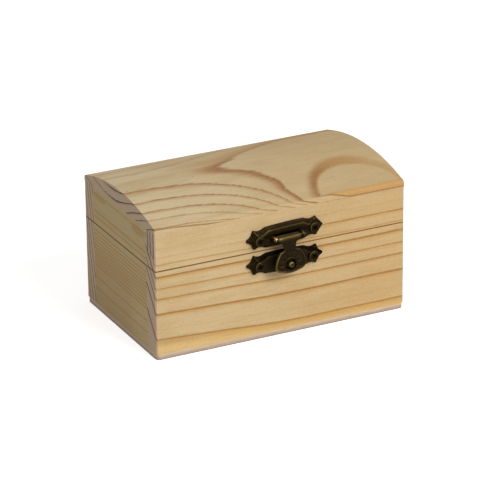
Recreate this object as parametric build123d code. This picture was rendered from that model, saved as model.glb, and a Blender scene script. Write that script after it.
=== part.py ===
from build123d import *
import os
from math import cos, radians, sin

# A small pine treasure chest: a keepsake box with an arched lid, a cast hasp latch on the
# front and two small butt hinges on the back. It is glued up as one closed box and then
# sawn round, so the base and the lid share every outer face.
# Millimetres. Origin at the middle of the bottom face, +X along the length to the right,
# +Y to the back, +Z up. The latch is on the front, at -Y.

# Wooden case
case_length = 100.0
case_depth = 60.3
case_height = 54.9
board_thickness = 7.5
bottom_thickness = 2.0
lid_wall_height = 14.1
saw_gap = 0.25
top_edge_height = 1.9
arch_rise = 4.8
corner_bevel = 0.4
top_board_bevel = 0.3
bottom_corner_round = 1.6
cut_overrun = 1.0

# Latch plates, the same casting above and below the saw cut
latch_x = 0.9
catch_drop = 4.9
hasp_rise = 5.4
hasp_tilt_degrees = 2.7
plate_half_length = 15.5
plate_half_height = 4.45
plate_edge_height = 0.8
plate_point_bevel = 0.25
panel_rise = 1.3
panel_half_length = 9.2
panel_half_height = 3.8
panel_end_half_length = 12.9
panel_end_half_height = 1.75
panel_slope_degrees = 30.0
latch_screw_spacing = 21.6
screw_hole_clearance = 0.12

# Plate outline, a quarter of it: shares of the half length and the half height
plate_waist_shares = (0.840, 0.371)
plate_horn_shares = (0.802, 0.875)
plate_notch_shares = (0.682, 0.780)
plate_shoulder_shares = (0.492, 0.985)

# Hasp pivot: lugs, pin and barrel
pin_radius = 0.6
pin_fit_clearance = 0.02
pin_end_proud = 0.25
barrel_running_clearance = 0.06
barrel_gap = 0.7
barrel_half_length = 4.4
barrel_end_clearance = 0.1
lug_inner_half = 5.0
lug_width = 1.15
lug_wall = 0.45
pivot_drop = 0.3
window_above = 1.9
window_below = 1.7

# Hasp flap
flap_thickness = 0.7
flap_drop = 13.15
flap_half_width = 6.25
flap_corner_round = 0.6
dish_radius = 2.55
dish_lip_height = 0.3
dish_depth = 0.45
dish_wall = 0.3

# Flap outline, one side: shares of the half width and of the drop below the pivot
flap_barrel_drop_share = 0.075
flap_throat_shares = (0.460, 0.135)
flap_neck_top_shares = (0.392, 0.230)
flap_neck_low_shares = (0.372, 0.315)
flap_shoulder_shares = (0.630, 0.350)
flap_side_shares = (0.860, 0.540)
flap_cheek_shares = (1.000, 0.785)
flap_corner_shares = (0.870, 0.890)
flap_foot_shares = (0.560, 0.958)

# Catch stud, riveted through the catch plate
stud_radius = 1.15
stud_rivet_radius = 0.7
stud_rivet_clearance = 0.03
stud_proud = 0.9
hole_clearance = 0.4

# Screws
latch_screw_head_radius = 2.3
latch_screw_head_height = 1.3
latch_screw_shank_radius = 0.9
hinge_screw_head_radius = 1.6
hinge_screw_head_height = 0.45
hinge_screw_shank_radius = 0.75
latch_screw_turn = 20.0
screw_cover = 1.8
pilot_clearance = 0.04
slot_width = 0.62
slot_span_share = 0.6
slot_depth_share = 0.6

# Butt hinges on the back
hinge_place_share = 0.56
hinge_length = 16.0
leaf_height = 8.0
leaf_thickness = 0.8
leaf_corner_bevel = 1.0
knuckle_count = 3
knuckle_gap = 0.15
knuckle_standoff = 0.15
hinge_pin_radius = 0.7
hinge_pin_clearance = 0.05
hinge_pin_proud = 0.3
hinge_screw_spacing = 9.6
hinge_screw_from_edge = 2.9

# Heights and places that follow from the sizes above
half_length = case_length / 2
half_depth = case_depth / 2
lid_board_top = case_height - arch_rise - top_edge_height
saw_height = lid_board_top - lid_wall_height
base_top = saw_height - saw_gap / 2
lid_bottom = saw_height + saw_gap / 2
catch_z = saw_height - catch_drop
hasp_z = saw_height + hasp_rise
panel_height = plate_edge_height + panel_rise
barrel_bore_radius = pin_radius + barrel_running_clearance
barrel_radius = barrel_bore_radius + flap_thickness
pivot_height = panel_height + barrel_gap + barrel_radius
flap_back_height = pivot_height + barrel_bore_radius
flap_front_height = flap_back_height + flap_thickness
barrel_middle = barrel_half_length + barrel_end_clearance - lug_inner_half
stud_top = flap_front_height + stud_proud
hole_radius = stud_radius + hole_clearance
latch_screw_length = board_thickness + panel_height - screw_cover
hinge_screw_length = board_thickness + leaf_thickness - screw_cover
knuckle_radius = hinge_pin_radius + hinge_pin_clearance + leaf_thickness
hinge_axis_height = knuckle_radius + knuckle_standoff
knuckle_length = (hinge_length - (knuckle_count - 1) * knuckle_gap) / knuckle_count

# Faces that the fittings are screwed to: local X along the face, local Y up, local Z
# outwards. Everything on them is drawn flat and then placed.
hasp_tilt = radians(hasp_tilt_degrees)
catch_face = Plane((latch_x, -half_depth, catch_z), x_dir=(1, 0, 0), z_dir=(0, -1, 0))
hasp_face = Plane(
    (latch_x, -half_depth, hasp_z),
    x_dir=(cos(hasp_tilt), 0, sin(hasp_tilt)),
    z_dir=(0, -1, 0),
)


def hinge_face(side):
    place = side * hinge_place_share * half_length
    return Plane((place, half_depth, saw_height), x_dir=(-1, 0, 0), z_dir=(0, 1, 0))


# The stud seen from the hasp's tilted face: the flap's hole is drawn round this point.
plate_distance = catch_drop + hasp_rise
hole_x = -plate_distance * sin(hasp_tilt)
hole_y = -plate_distance * cos(hasp_tilt)


def placed(face, shape):
    return face.location * shape


def rod(radius, low, high, x=0.0, y=0.0):
    """A round bar along Z from one height to another."""
    return Pos(x, y, (low + high) / 2) * Cylinder(radius, high - low)


def bar_along_x(radius, left, right, y, z):
    """A round bar along X from one side to another."""
    return Pos((left + right) / 2, y, z) * Rot(0, 90, 0) * Cylinder(radius, right - left)


def block(x_range, y_range, z_range):
    """A block between two corners, given as ranges."""
    ranges = (x_range, y_range, z_range)
    middle = [(low + high) / 2 for low, high in ranges]
    size = [high - low for low, high in ranges]
    return Pos(*middle) * Box(*size)


def outer_uprights(shape):
    """The upright edges of a board that lie on the corners of the case."""
    edges = shape.edges().filter_by(Axis.Z)
    near = half_length + half_depth - board_thickness / 2
    return edges.filter_by(lambda edge: abs(edge.center().X) + abs(edge.center().Y) > near)


# Screws and the holes they need

def wood_screw(head_radius, head_height, shank_radius, length):
    """A flat-headed wood screw along Z, with the underside of its head at zero."""
    return rod(shank_radius, -length, 0) + rod(head_radius, 0, head_height)


def driver_slot(radius, height):
    """A straight slot in the top of a screw head."""
    depth = height * slot_depth_share
    middle = Pos(0, 0, height - depth / 2 + cut_overrun / 2)
    return middle * Box(2 * radius * slot_span_share, slot_width, depth + cut_overrun)


def latch_screw(side):
    x = side * latch_screw_spacing / 2
    screw = wood_screw(
        latch_screw_head_radius,
        latch_screw_head_height,
        latch_screw_shank_radius,
        latch_screw_length,
    )
    screw -= driver_slot(latch_screw_head_radius, latch_screw_head_height)
    return Pos(x, 0, panel_height) * Rot(0, 0, side * latch_screw_turn) * screw


def hinge_screw_places(side):
    """Two screw places on a leaf, for the lid leaf (side 1) or the base leaf (side -1)."""
    y = side * (leaf_height - hinge_screw_from_edge)
    return [(x * hinge_screw_spacing / 2, y) for x in (-1, 1)]


def hinge_screws(side):
    screw = wood_screw(
        hinge_screw_head_radius,
        hinge_screw_head_height,
        hinge_screw_shank_radius,
        hinge_screw_length,
    )
    return [Pos(x, y, leaf_thickness) * screw for x, y in hinge_screw_places(side)]


def pilot_hole(x, y, shank_radius, depth):
    return rod(shank_radius + pilot_clearance, -depth, cut_overrun, x, y)


def latch_pilot_holes():
    depth = latch_screw_length - panel_height + pilot_clearance
    half = latch_screw_spacing / 2
    return [pilot_hole(x, 0, latch_screw_shank_radius, depth) for x in (-half, half)]


def hinge_pilot_holes(side):
    depth = hinge_screw_length - leaf_thickness + pilot_clearance
    places = hinge_screw_places(side)
    return [pilot_hole(x, y, hinge_screw_shank_radius, depth) for x, y in places]


# Boards of the base and the lid

def long_board(side, low, high):
    """The front (side -1) or back (side 1) board, over the whole length."""
    inner = half_depth - board_thickness
    y_range = sorted((side * inner, side * half_depth))
    board = block((-half_length, half_length), y_range, (low, high))
    return chamfer(outer_uprights(board), corner_bevel)


def end_board(side, low, high):
    """The left (side -1) or right (side 1) board, between the two long ones."""
    inner = half_length - board_thickness
    x_range = sorted((side * inner, side * half_length))
    y_half = half_depth - board_thickness
    return block(x_range, (-y_half, y_half), (low, high))


def drilled_for_hinges(board, side):
    for end in (-1, 1):
        for hole in hinge_pilot_holes(side):
            board -= placed(hinge_face(end), hole)
    return board


def drilled_for_latch(board, face):
    for hole in latch_pilot_holes():
        board -= placed(face, hole)
    return board


def bottom_panel():
    panel = block((-half_length, half_length), (-half_depth, half_depth), (0, bottom_thickness))
    return fillet(panel.edges().filter_by(Axis.Z), bottom_corner_round)


def lid_top_board():
    """The top board: flat below, with upright edges and a shallow arch from front to back."""
    spring = lid_board_top + top_edge_height
    outline = Line((-half_depth, lid_board_top), (half_depth, lid_board_top))
    outline += Line((half_depth, lid_board_top), (half_depth, spring))
    outline += ThreePointArc((half_depth, spring), (0, case_height), (-half_depth, spring))
    outline += Line((-half_depth, spring), (-half_depth, lid_board_top))
    board = extrude(Plane.YZ * make_face(outline), half_length, both=True)
    ends = board.faces().filter_by(Axis.X)
    arches = ends.edges().filter_by(GeomType.CIRCLE)
    return chamfer(arches, top_board_bevel)


# Latch: two cast plates, the lugs and pin, the flap and the stud

def shared_point(shares, x_size, y_size):
    return (shares[0] * x_size, shares[1] * y_size)


def plate_outline():
    """The pointed and horned outline of a plate, from one quarter of it."""
    def point(shares, x_side, y_side):
        return shared_point(shares, x_side * plate_half_length, y_side * plate_half_height)

    outline = []
    for x_side in (-1, 1):
        tip = (x_side * plate_half_length, 0)
        for y_side in (-1, 1):
            horn = point(plate_horn_shares, x_side, y_side)
            shoulder = point(plate_shoulder_shares, x_side, y_side)
            outline.append(ThreePointArc(tip, point(plate_waist_shares, x_side, y_side), horn))
            outline.append(ThreePointArc(horn, point(plate_notch_shares, x_side, y_side), shoulder))
    for y_side in (-1, 1):
        left = point(plate_shoulder_shares, -1, y_side)
        right = point(plate_shoulder_shares, 1, y_side)
        outline.append(ThreePointArc(left, (0, y_side * plate_half_height), right))
    face = make_face(outline)
    horn_x = plate_horn_shares[0] * plate_half_length
    points = face.vertices().filter_by(lambda corner: abs(corner.X) > horn_x - plate_point_bevel)
    return chamfer(points, plate_point_bevel)


def panel_outline():
    """The foot of the raised panel: long sides that draw in round the screws."""
    upper = [
        (panel_end_half_length, panel_end_half_height),
        (panel_half_length, panel_half_height),
        (-panel_half_length, panel_half_height),
        (-panel_end_half_length, panel_end_half_height),
    ]
    lower = [(-x, -y) for x, y in upper]
    return make_face(Polyline(*upper, *lower, close=True))


def latch_plate():
    """The casting: a flat edge and a raised panel that also carries the screw heads."""
    plate = extrude(plate_outline(), plate_edge_height)
    lift = Pos(0, 0, plate_edge_height)
    plate += lift * extrude(panel_outline(), panel_rise, taper=panel_slope_degrees)
    for side in (-1, 1):
        radius = latch_screw_shank_radius + screw_hole_clearance
        x = side * latch_screw_spacing / 2
        plate -= rod(radius, -cut_overrun, panel_height + cut_overrun, x)
    return plate


def catch_plate():
    radius = stud_rivet_radius + stud_rivet_clearance
    return latch_plate() - rod(radius, -cut_overrun, panel_height + cut_overrun)


def catch_stud():
    """The stud that the flap's hole drops over, with a rivet tail through the plate."""
    return rod(stud_rivet_radius, 0, panel_height) + rod(stud_radius, panel_height, stud_top)


def lug(side):
    """One of the two ears that carry the pin, standing out of the panel."""
    left, right = sorted((side * lug_inner_half, side * (lug_inner_half + lug_width)))
    radius = pin_radius + lug_wall
    x_range = (left, right)
    y_range = (-pivot_drop - radius, -pivot_drop + radius)
    stem = block(x_range, y_range, (plate_edge_height, pivot_height))
    return stem + bar_along_x(radius, left, right, -pivot_drop, pivot_height)


def hasp_plate():
    window = block(
        (-lug_inner_half, lug_inner_half),
        (-pivot_drop - window_below, -pivot_drop + window_above),
        (-cut_overrun, panel_height + cut_overrun),
    )
    plate = latch_plate() - window
    for side in (-1, 1):
        plate += lug(side)
    reach = lug_inner_half + lug_width + cut_overrun
    bore_radius = pin_radius + pin_fit_clearance
    return plate - bar_along_x(bore_radius, -reach, reach, -pivot_drop, pivot_height)


def hasp_pin():
    reach = lug_inner_half + lug_width + pin_end_proud
    return bar_along_x(pin_radius, -reach, reach, -pivot_drop, pivot_height)


def flap_outline():
    """The waisted shield of the flap, drawn round the line from the barrel to the hole."""
    def point(shares, side):
        x, drop = shared_point(shares, side * flap_half_width, flap_drop)
        return (hole_x + x, -pivot_drop - drop)

    barrel_low = -pivot_drop - flap_barrel_drop_share * flap_drop
    sides = []
    ends = []
    for side in (-1, 1):
        barrel_end = barrel_middle + side * barrel_half_length
        top = (barrel_end, -pivot_drop)
        low = (barrel_end, barrel_low)
        neck_top = point(flap_neck_top_shares, side)
        neck_low = point(flap_neck_low_shares, side)
        shoulder = point(flap_shoulder_shares, side)
        cheek = point(flap_cheek_shares, side)
        foot = point(flap_foot_shares, side)
        sides.append(Line(top, low))
        sides.append(ThreePointArc(low, point(flap_throat_shares, side), neck_top))
        sides.append(Line(neck_top, neck_low))
        sides.append(Line(neck_low, shoulder))
        sides.append(ThreePointArc(shoulder, point(flap_side_shares, side), cheek))
        sides.append(ThreePointArc(cheek, point(flap_corner_shares, side), foot))
        ends.append((top, foot))
    (left_top, left_foot), (right_top, right_foot) = ends
    sides.append(Line(left_top, right_top))
    sides.append(ThreePointArc(left_foot, (hole_x, -pivot_drop - flap_drop), right_foot))
    face = make_face(sides)
    shoulder_y = point(flap_shoulder_shares, 1)[1]
    shoulders = face.vertices().filter_by(
        lambda corner: abs(corner.Y - shoulder_y) < flap_corner_round / 4
    )
    return fillet(shoulders, flap_corner_round)


def dish_ring():
    """The pressed dish round the hole, with its raised lip, drawn round the Z axis."""
    back = flap_back_height
    lip_top = flap_front_height + dish_lip_height
    floor = back - dish_depth
    points = [
        (dish_radius, back),
        (dish_radius, lip_top),
        (hole_radius, floor + dish_wall),
        (hole_radius, floor),
    ]
    return revolve(Plane.XZ * make_face(Polyline(*points, close=True)), Axis.Z)


def hasp_flap():
    """The swinging flap: barrel, waisted shield and the dished hole for the stud."""
    sheet = Pos(0, 0, flap_back_height) * extrude(flap_outline(), flap_thickness)
    low_height = flap_back_height - cut_overrun
    high_height = flap_front_height + cut_overrun
    sheet -= rod(dish_radius, low_height, high_height, hole_x, hole_y)
    sheet += Pos(hole_x, hole_y, 0) * dish_ring()
    left = barrel_middle - barrel_half_length
    right = barrel_middle + barrel_half_length
    sheet += bar_along_x(barrel_radius, left, right, -pivot_drop, pivot_height)
    reach = lug_inner_half + cut_overrun
    return sheet - bar_along_x(barrel_bore_radius, -reach, reach, -pivot_drop, pivot_height)


# Butt hinges: local X along the hinge, the pin line at local Y zero

def knuckle_span(index):
    start = -hinge_length / 2 + index * (knuckle_length + knuckle_gap)
    return start, start + knuckle_length


def hinge_leaf(side):
    """A leaf with its knuckles: the lid's leaf (side 1) or the base's leaf (side -1)."""
    near = knuckle_radius + knuckle_gap
    sheet = Pos(0, side * (near + leaf_height) / 2) * Rectangle(hinge_length, leaf_height - near)
    far_corners = sheet.vertices().filter_by(lambda corner: abs(corner.Y) > near + leaf_thickness)
    sheet = chamfer(far_corners, leaf_corner_bevel)
    leaf = extrude(sheet, leaf_thickness)
    first = 0 if side < 0 else 1
    for index in range(first, knuckle_count, 2):
        span = knuckle_span(index)
        y_range = sorted((0, side * (near + knuckle_gap)))
        leaf += block(span, y_range, (0, leaf_thickness))
        leaf += bar_along_x(knuckle_radius, *span, 0, hinge_axis_height)
    bore = hinge_pin_radius + hinge_pin_clearance
    reach = hinge_length / 2 + cut_overrun
    leaf -= bar_along_x(bore, -reach, reach, 0, hinge_axis_height)
    for x, y in hinge_screw_places(side):
        radius = hinge_screw_shank_radius + screw_hole_clearance
        leaf -= rod(radius, -cut_overrun, leaf_thickness + cut_overrun, x, y)
    return leaf


def hinge_pin():
    reach = hinge_length / 2 + hinge_pin_proud
    return bar_along_x(hinge_pin_radius, -reach, reach, 0, hinge_axis_height)


# All the pieces, by name

def wooden_pieces():
    lid_span = (lid_bottom, lid_board_top)
    base_span = (bottom_thickness, base_top)
    return {
        "bottom_panel": bottom_panel(),
        "base_front_board": drilled_for_latch(long_board(-1, *base_span), catch_face),
        "base_back_board": drilled_for_hinges(long_board(1, *base_span), -1),
        "base_left_board": end_board(-1, *base_span),
        "base_right_board": end_board(1, *base_span),
        "lid_front_board": drilled_for_latch(long_board(-1, *lid_span), hasp_face),
        "lid_back_board": drilled_for_hinges(long_board(1, *lid_span), 1),
        "lid_left_board": end_board(-1, *lid_span),
        "lid_right_board": end_board(1, *lid_span),
        "lid_top_board": lid_top_board(),
    }


def latch_pieces():
    return {
        "catch_plate": placed(catch_face, catch_plate()),
        "catch_stud": placed(catch_face, catch_stud()),
        "catch_screw_left": placed(catch_face, latch_screw(-1)),
        "catch_screw_right": placed(catch_face, latch_screw(1)),
        "hasp_plate": placed(hasp_face, hasp_plate()),
        "hasp_screw_left": placed(hasp_face, latch_screw(-1)),
        "hasp_screw_right": placed(hasp_face, latch_screw(1)),
        "hasp_pin": placed(hasp_face, hasp_pin()),
        "hasp_flap": placed(hasp_face, hasp_flap()),
    }


def hinge_pieces():
    pieces = {}
    for name, side in (("left", -1), ("right", 1)):
        face = hinge_face(side)
        pieces[f"{name}_hinge_base_leaf"] = placed(face, hinge_leaf(-1))
        pieces[f"{name}_hinge_lid_leaf"] = placed(face, hinge_leaf(1))
        pieces[f"{name}_hinge_pin"] = placed(face, hinge_pin())
        for part, leaf_side in (("base", -1), ("lid", 1)):
            screws = [placed(face, screw) for screw in hinge_screws(leaf_side)]
            pieces[f"{name}_hinge_{part}_screws"] = Compound(children=screws)
    return pieces


def main():
    os.makedirs("parts", exist_ok=True)
    pieces = wooden_pieces() | latch_pieces() | hinge_pieces()
    for name, shape in pieces.items():
        export_step(shape, f"parts/{name}.step")
    pivot = hasp_face.from_local_coords((0, -pivot_drop, pivot_height))
    print("pieces", len(pieces))
    print("lid pin line: y", half_depth + hinge_axis_height, "z", saw_height)
    print("hasp pin line passes", pivot, "tilt", hasp_tilt_degrees)
    print("flap front", flap_front_height, "stud tip", stud_top, "hole radius", hole_radius)


main()
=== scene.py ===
# %% [markdown]
# # A small pine treasure chest
# This lesson dresses a construction model in Blender: a bare pine keepsake chest with an
# arched lid, a dark cast hasp on the front and two small hinges on the back. The solids come
# from a fixed frame, in metres, and are never moved. Every cell adds one finish or one small
# piece, and prints what it made.

# %% Load the fixed frame
import math

import bmesh
import bpy
from mathutils import Matrix, Vector


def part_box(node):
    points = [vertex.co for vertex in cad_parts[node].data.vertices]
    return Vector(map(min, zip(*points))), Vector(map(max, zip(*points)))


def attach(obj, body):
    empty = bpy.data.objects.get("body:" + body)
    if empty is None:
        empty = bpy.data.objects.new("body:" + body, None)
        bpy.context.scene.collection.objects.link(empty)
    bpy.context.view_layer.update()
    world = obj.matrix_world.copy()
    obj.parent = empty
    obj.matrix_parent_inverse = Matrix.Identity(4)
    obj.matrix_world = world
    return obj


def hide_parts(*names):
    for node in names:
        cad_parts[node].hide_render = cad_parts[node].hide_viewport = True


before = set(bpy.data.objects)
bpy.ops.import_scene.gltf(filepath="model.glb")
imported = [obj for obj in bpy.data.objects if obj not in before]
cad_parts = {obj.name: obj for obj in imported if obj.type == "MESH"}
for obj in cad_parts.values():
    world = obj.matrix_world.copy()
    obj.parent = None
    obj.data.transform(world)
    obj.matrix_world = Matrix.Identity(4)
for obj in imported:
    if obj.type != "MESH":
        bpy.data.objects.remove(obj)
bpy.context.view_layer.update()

MM = 0.001


def in_mm(corners):
    """The low and the high corner of a box, in millimetres."""
    return [[value / MM for value in corner] for corner in corners]


# %% [markdown]
# ## The camera
# The real chest was seen from the front and left, a little from above, through a long lens.
# A camera can be placed by hand and nudged, or worked out from its angles. The angles are
# clearer: they give the three directions of the view, and the place follows from them.

# %% Place the camera
camera_azimuth = math.radians(-26.271)
camera_elevation = math.radians(22.587)
camera_roll = math.radians(-0.66)
camera_distance = 1149.63 * MM
camera_right_offset = 1.85 * MM
camera_up_offset = -23.66 * MM
lens_mm = 233.11
sensor_mm = 36.0


def add_object(name, data):
    """Puts a camera, a lamp or a mesh into the scene."""
    made = bpy.data.objects.new(name, data)
    bpy.context.collection.objects.link(made)
    return made


def view_directions(azimuth, elevation, roll):
    """The right, up and forward directions of a camera with these angles."""
    right = Vector((math.cos(azimuth), math.sin(azimuth), 0))
    level = Vector((-math.sin(azimuth), math.cos(azimuth), 0))
    forward = level * math.cos(elevation) - Vector((0, 0, math.sin(elevation)))
    up = right.cross(forward)
    turned_right = right * math.cos(roll) + up * math.sin(roll)
    turned_up = up * math.cos(roll) - right * math.sin(roll)
    return turned_right, turned_up, forward


def add_camera():
    right, up, forward = view_directions(camera_azimuth, camera_elevation, camera_roll)
    place = -right * camera_right_offset - up * camera_up_offset - forward * camera_distance
    data = bpy.data.cameras.new("camera")
    data.lens = lens_mm
    data.sensor_width = sensor_mm
    camera = add_object("camera", data)
    turn = Matrix((right, up, -forward)).transposed().to_4x4()
    camera.matrix_world = Matrix.Translation(place) @ turn
    bpy.context.scene.camera = camera
    return place


print("camera at", [round(value, 4) for value in add_camera()])

# %% [markdown]
# ## Shader maths as expressions
# Wood and metal finishes are sums, products and fades of a few patterns. Wired by hand they
# become a tangle, so one small class wraps a socket and lets Python operators add the Math
# nodes. Every other node comes from its one method `node`.

# %% A socket that can be used in sums


def put(socket, value):
    """Links a wire to a socket, or gives the socket a plain value."""
    if isinstance(value, Wire):
        value.tree.links.new(value.socket, socket)
    else:
        socket.default_value = value


class Wire:
    """One output of a shader node, used like a number. Without one, it only adds nodes."""

    def __init__(self, tree, socket=None):
        self.tree = tree
        self.socket = socket

    def node(self, kind, settings=None, inputs=None, output=0):
        """Adds a node: its settings first, then the values or wires of its sockets."""
        made = self.tree.nodes.new("ShaderNode" + kind)
        for name, value in (settings or {}).items():
            setattr(made, name, value)
        for name, value in (inputs or {}).items():
            put(made.inputs[name], value)
        return Wire(self.tree, made.outputs[output])

    def maths(self, operation, *values):
        return self.node("Math", {"operation": operation}, dict(enumerate(values)))

    def __add__(self, other):
        return self.maths("ADD", self, other)

    def __radd__(self, other):
        return self.maths("ADD", other, self)

    def __sub__(self, other):
        return self.maths("SUBTRACT", self, other)

    def __rsub__(self, other):
        return self.maths("SUBTRACT", other, self)

    def __mul__(self, other):
        return self.maths("MULTIPLY", self, other)

    def __rmul__(self, other):
        return self.maths("MULTIPLY", other, self)

    def __truediv__(self, other):
        return self.maths("DIVIDE", self, other)

    def __rtruediv__(self, other):
        return self.maths("DIVIDE", other, self)

    def larger(self, other):
        return self.maths("MAXIMUM", self, other)

    def size(self):
        return self.maths("ABSOLUTE", self)

    def fade(self, start, end, low=0.0, high=1.0):
        """Runs smoothly from low, at start, to high, at end, and stays there."""
        values = {"Value": self, "From Min": start, "From Max": end, "To Min": low, "To Max": high}
        return self.node("MapRange", {"interpolation_type": "SMOOTHSTEP"}, values)

    def mix(self, first, second, share):
        """A colour between two, by a share. The node's colour sockets go by number."""
        return self.node("Mix", {"data_type": "RGBA"}, {0: share, 6: first, 7: second}, output=2)

    def towards(self, other, share):
        """This colour, mixed with another by a share."""
        return self.mix(self, other, share)

    def tint(self, other, pattern, start, end, share=1.0):
        """This colour, mixed with another as a pattern runs from start to end."""
        return self.towards(other, pattern.fade(start, end, 0.0, share))


print("maths class ready:", [name for name in dir(Wire) if not name.startswith("__")])

# %% [markdown]
# ## Places, patterns and colours
# A vector has to be taken apart before its numbers can go into sums, and noise is the one
# pattern that every finish here is broken up with. Colours are written as they look on a
# screen, because that is how they are picked, and turned into Blender's linear ones.

# %% Helpers for wires and colours


def split(vector):
    """The three numbers of a vector, each as a wire."""
    return [vector.node("SeparateXYZ", None, {0: vector}, output=index) for index in range(3)]


def join(x, y, z):
    """A vector from three wires."""
    return x.node("CombineXYZ", None, {0: x, 1: y, 2: z})


def strongest(wires):
    """The largest of several wires, place by place."""
    found = wires[0]
    for wire in wires[1:]:
        found = found.larger(wire)
    return found


def noise(vector, scale=1.0, detail=2.0, roughness=0.5):
    values = {"Vector": vector, "Scale": scale, "Detail": detail, "Roughness": roughness}
    return vector.node("TexNoise", None, values)


def paint(red, green, blue):
    """A colour as it looks on a screen, 0 to 255, made into Blender's linear colour."""
    def linear(level):
        share = level / 255
        return share / 12.92 if share <= 0.04045 else ((share + 0.055) / 1.055) ** 2.4

    return (linear(red), linear(green), linear(blue), 1.0)


print("middle grey is", round(paint(128, 128, 128)[0], 3), "in linear colour")

# %% [markdown]
# ## A blank finish
# Every finish starts in the same way: a material, its shader, and the place on the piece in
# millimetres, so that a pattern keeps its true size. A flat unwrapped map would need seams,
# and wood and cast metal are solid all through, so the place in space suits them better.

# %% Start a finish


def new_material(name):
    """An empty finish: the material, its shader and a wire with the place in millimetres."""
    material = bpy.data.materials.new(name)
    material.use_nodes = True
    tree = material.node_tree
    metres = Wire(tree).node("TexCoord", output="Object")
    place = metres.node("VectorMath", {"operation": "SCALE"}, {0: metres, "Scale": 1 / MM})
    return material, tree.nodes["Principled BSDF"], place


def feed(shader, **values):
    """Gives a shader's sockets their wires and values: base_color goes to Base Color."""
    sockets = {socket.name.lower().replace(" ", "_"): socket for socket in shader.inputs}
    for name, value in values.items():
        put(sockets[name], value)


def bump_normal(height, strength):
    """A normal from a height in millimetres."""
    return height.node("Bump", None, {"Height": height, "Strength": strength, "Distance": MM})


def dress(nodes, material):
    """Puts one finish on the named nodes of the frame."""
    for node in nodes:
        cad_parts[node].data.materials.clear()
        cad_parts[node].data.materials.append(material)
    print(material.name, "on", ", ".join(nodes))


print("finish tools ready")

# %% [markdown]
# ## The light
# A plain studio: a big soft lamp in front and to the right, which leaves the left end in
# shade, and an even white surround. More lamps could be added, but one gives a single soft
# shadow, as a window does. It is weak enough that a colour renders about as it is written.
# The world looks white to the camera and in reflections, but lights the chest with its own,
# lower strength.

# %% Light the studio
surround_strength = 0.385
white_rays = ("Is Camera Ray", "Is Glossy Ray", "Is Transmission Ray")
key_power = 7.6
key_size = 0.5
key_place = Vector((0.32, -0.95, 0.75))
key_target = Vector((0, 0, 0.028))
bpy.context.scene.view_settings.view_transform = "Standard"


def add_key_lamp():
    """A square lamp that looks at the middle of the chest."""
    data = bpy.data.lights.new("key_lamp", "AREA")
    data.energy = key_power
    data.size = key_size
    lamp = add_object("key_lamp", data)
    lamp.location = key_place
    lamp.rotation_euler = (key_target - key_place).to_track_quat("-Z", "Y").to_euler()


def add_world():
    """White where it is seen or reflected, and weaker where it lights the chest."""
    world = bpy.data.worlds.new("studio")
    bpy.context.scene.world = world
    world.use_nodes = True
    start = Wire(world.node_tree)
    seen = strongest([start.node("LightPath", output=ray) for ray in white_rays])
    levels = {"Value": seen, "To Min": surround_strength, "To Max": 1.0}
    level = seen.node("MapRange", None, levels)
    feed(world.node_tree.nodes["Background"], color=(1, 1, 1, 1), strength=level)


add_key_lamp()
add_world()
print("lamps", [light.name for light in bpy.data.lights])

# %% [markdown]
# ## Pine, as it grows
# A board is cut from a trunk of nested growth rings, so one solid pattern should explain all
# of its faces: long lines on the face grain, dark arcs on the sawn ends. An image on each
# face couldn't agree at the corners. Here every board has a ring field, a number in
# millimetres that is the same all over one ring. Going up through a ring the wood darkens
# slowly, ends in a sharp dark line and starts again pale.

# %% Growth rings from a field
ring_edge_softness = 0.14


def fade_in_ring(field, place, strength, dark_width, glow_width, softness=ring_edge_softness):
    """The dark line and the glow of one ring, both ending sharply at its place."""
    below = place - field
    edge = below.fade(-softness, softness, 0.0, strength)
    return edge * below.fade(dark_width, 0.0), edge * below.fade(glow_width, 0.0)


def rings(field, marks, softness=ring_edge_softness):
    """All the rings of a board: a list of place, strength, dark width and glow width."""
    pairs = [fade_in_ring(field, *mark, softness) for mark in marks]
    return strongest([dark for dark, glow in pairs]), strongest([glow for dark, glow in pairs])


def along_grain(axes, grain_axis, across, along):
    """Coordinates for a pattern that is drawn out along the grain."""
    return join(*[
        axis * (along if index == grain_axis else across) for index, axis in enumerate(axes)
    ])


print("a ring's edge fades over", 2 * ring_edge_softness, "mm")

# %% [markdown]
# ## The saw cut
# The chest was glued up whole and then sawn open, so base and lid meet in a rough browner
# cut. Only the cut's outer rim is tinted, because the rest shows with the lid open and is as
# pale as the boards. Light that bounces in the thin gap at the front makes it glow orange. It
# could be left to the renderer, but few bounces get that deep, so the gap gives off a little
# light itself, more to the right, nearer the lamp.

# %% Tint the saw cut
saw_z = 34.1
saw_reach = (0.34, 0.15)
rim_x = (49.1, 49.4)
rim_y = (29.3, 29.5)
gap_y = (-29.2, -29.5)
gap_x = (-49.0, 30.0)
gap_left_share = 0.15
saw_brown = paint(148, 106, 62)
saw_light = paint(82, 57, 24)
no_light = paint(0, 0, 0)


def saw_cut(x, y, z):
    """The rim of the two sawn faces, and how brightly its part in the front gap glows."""
    rim = x.size().fade(*rim_x).larger(y.size().fade(*rim_y))
    sawn = (z - saw_z).size().fade(*saw_reach) * rim
    return sawn, sawn * y.fade(*gap_y) * x.fade(*gap_x, gap_left_share, 1.0)


print("saw cut at", saw_z, "mm")

# %% [markdown]
# ## The colours of bare pine
# Sanded pine is pale to honey-coloured in slow patches. Over them lie the rings, brown
# fibres, dark pores and pale flecks, and a sawn end is greyer, with nearly black rings. A
# wood photograph would stretch on some faces and repeat on others. A few layers of noise,
# each drawn out along the grain by its own amount, do neither.

# %% Mix the pine
pale_wood = paint(226, 198, 149)
honey_wood = paint(213, 177, 120)
ring_glow = paint(202, 152, 82)
ring_dark = paint(140, 90, 42)
fibre_brown = paint(150, 108, 62)
speck_pale = paint(238, 214, 178)
end_wood = paint(214, 186, 156)
end_ring = paint(76, 50, 38)
along_x, along_y = 0, 1
fray_depth = 0.3
feather_share = 1.6
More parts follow.
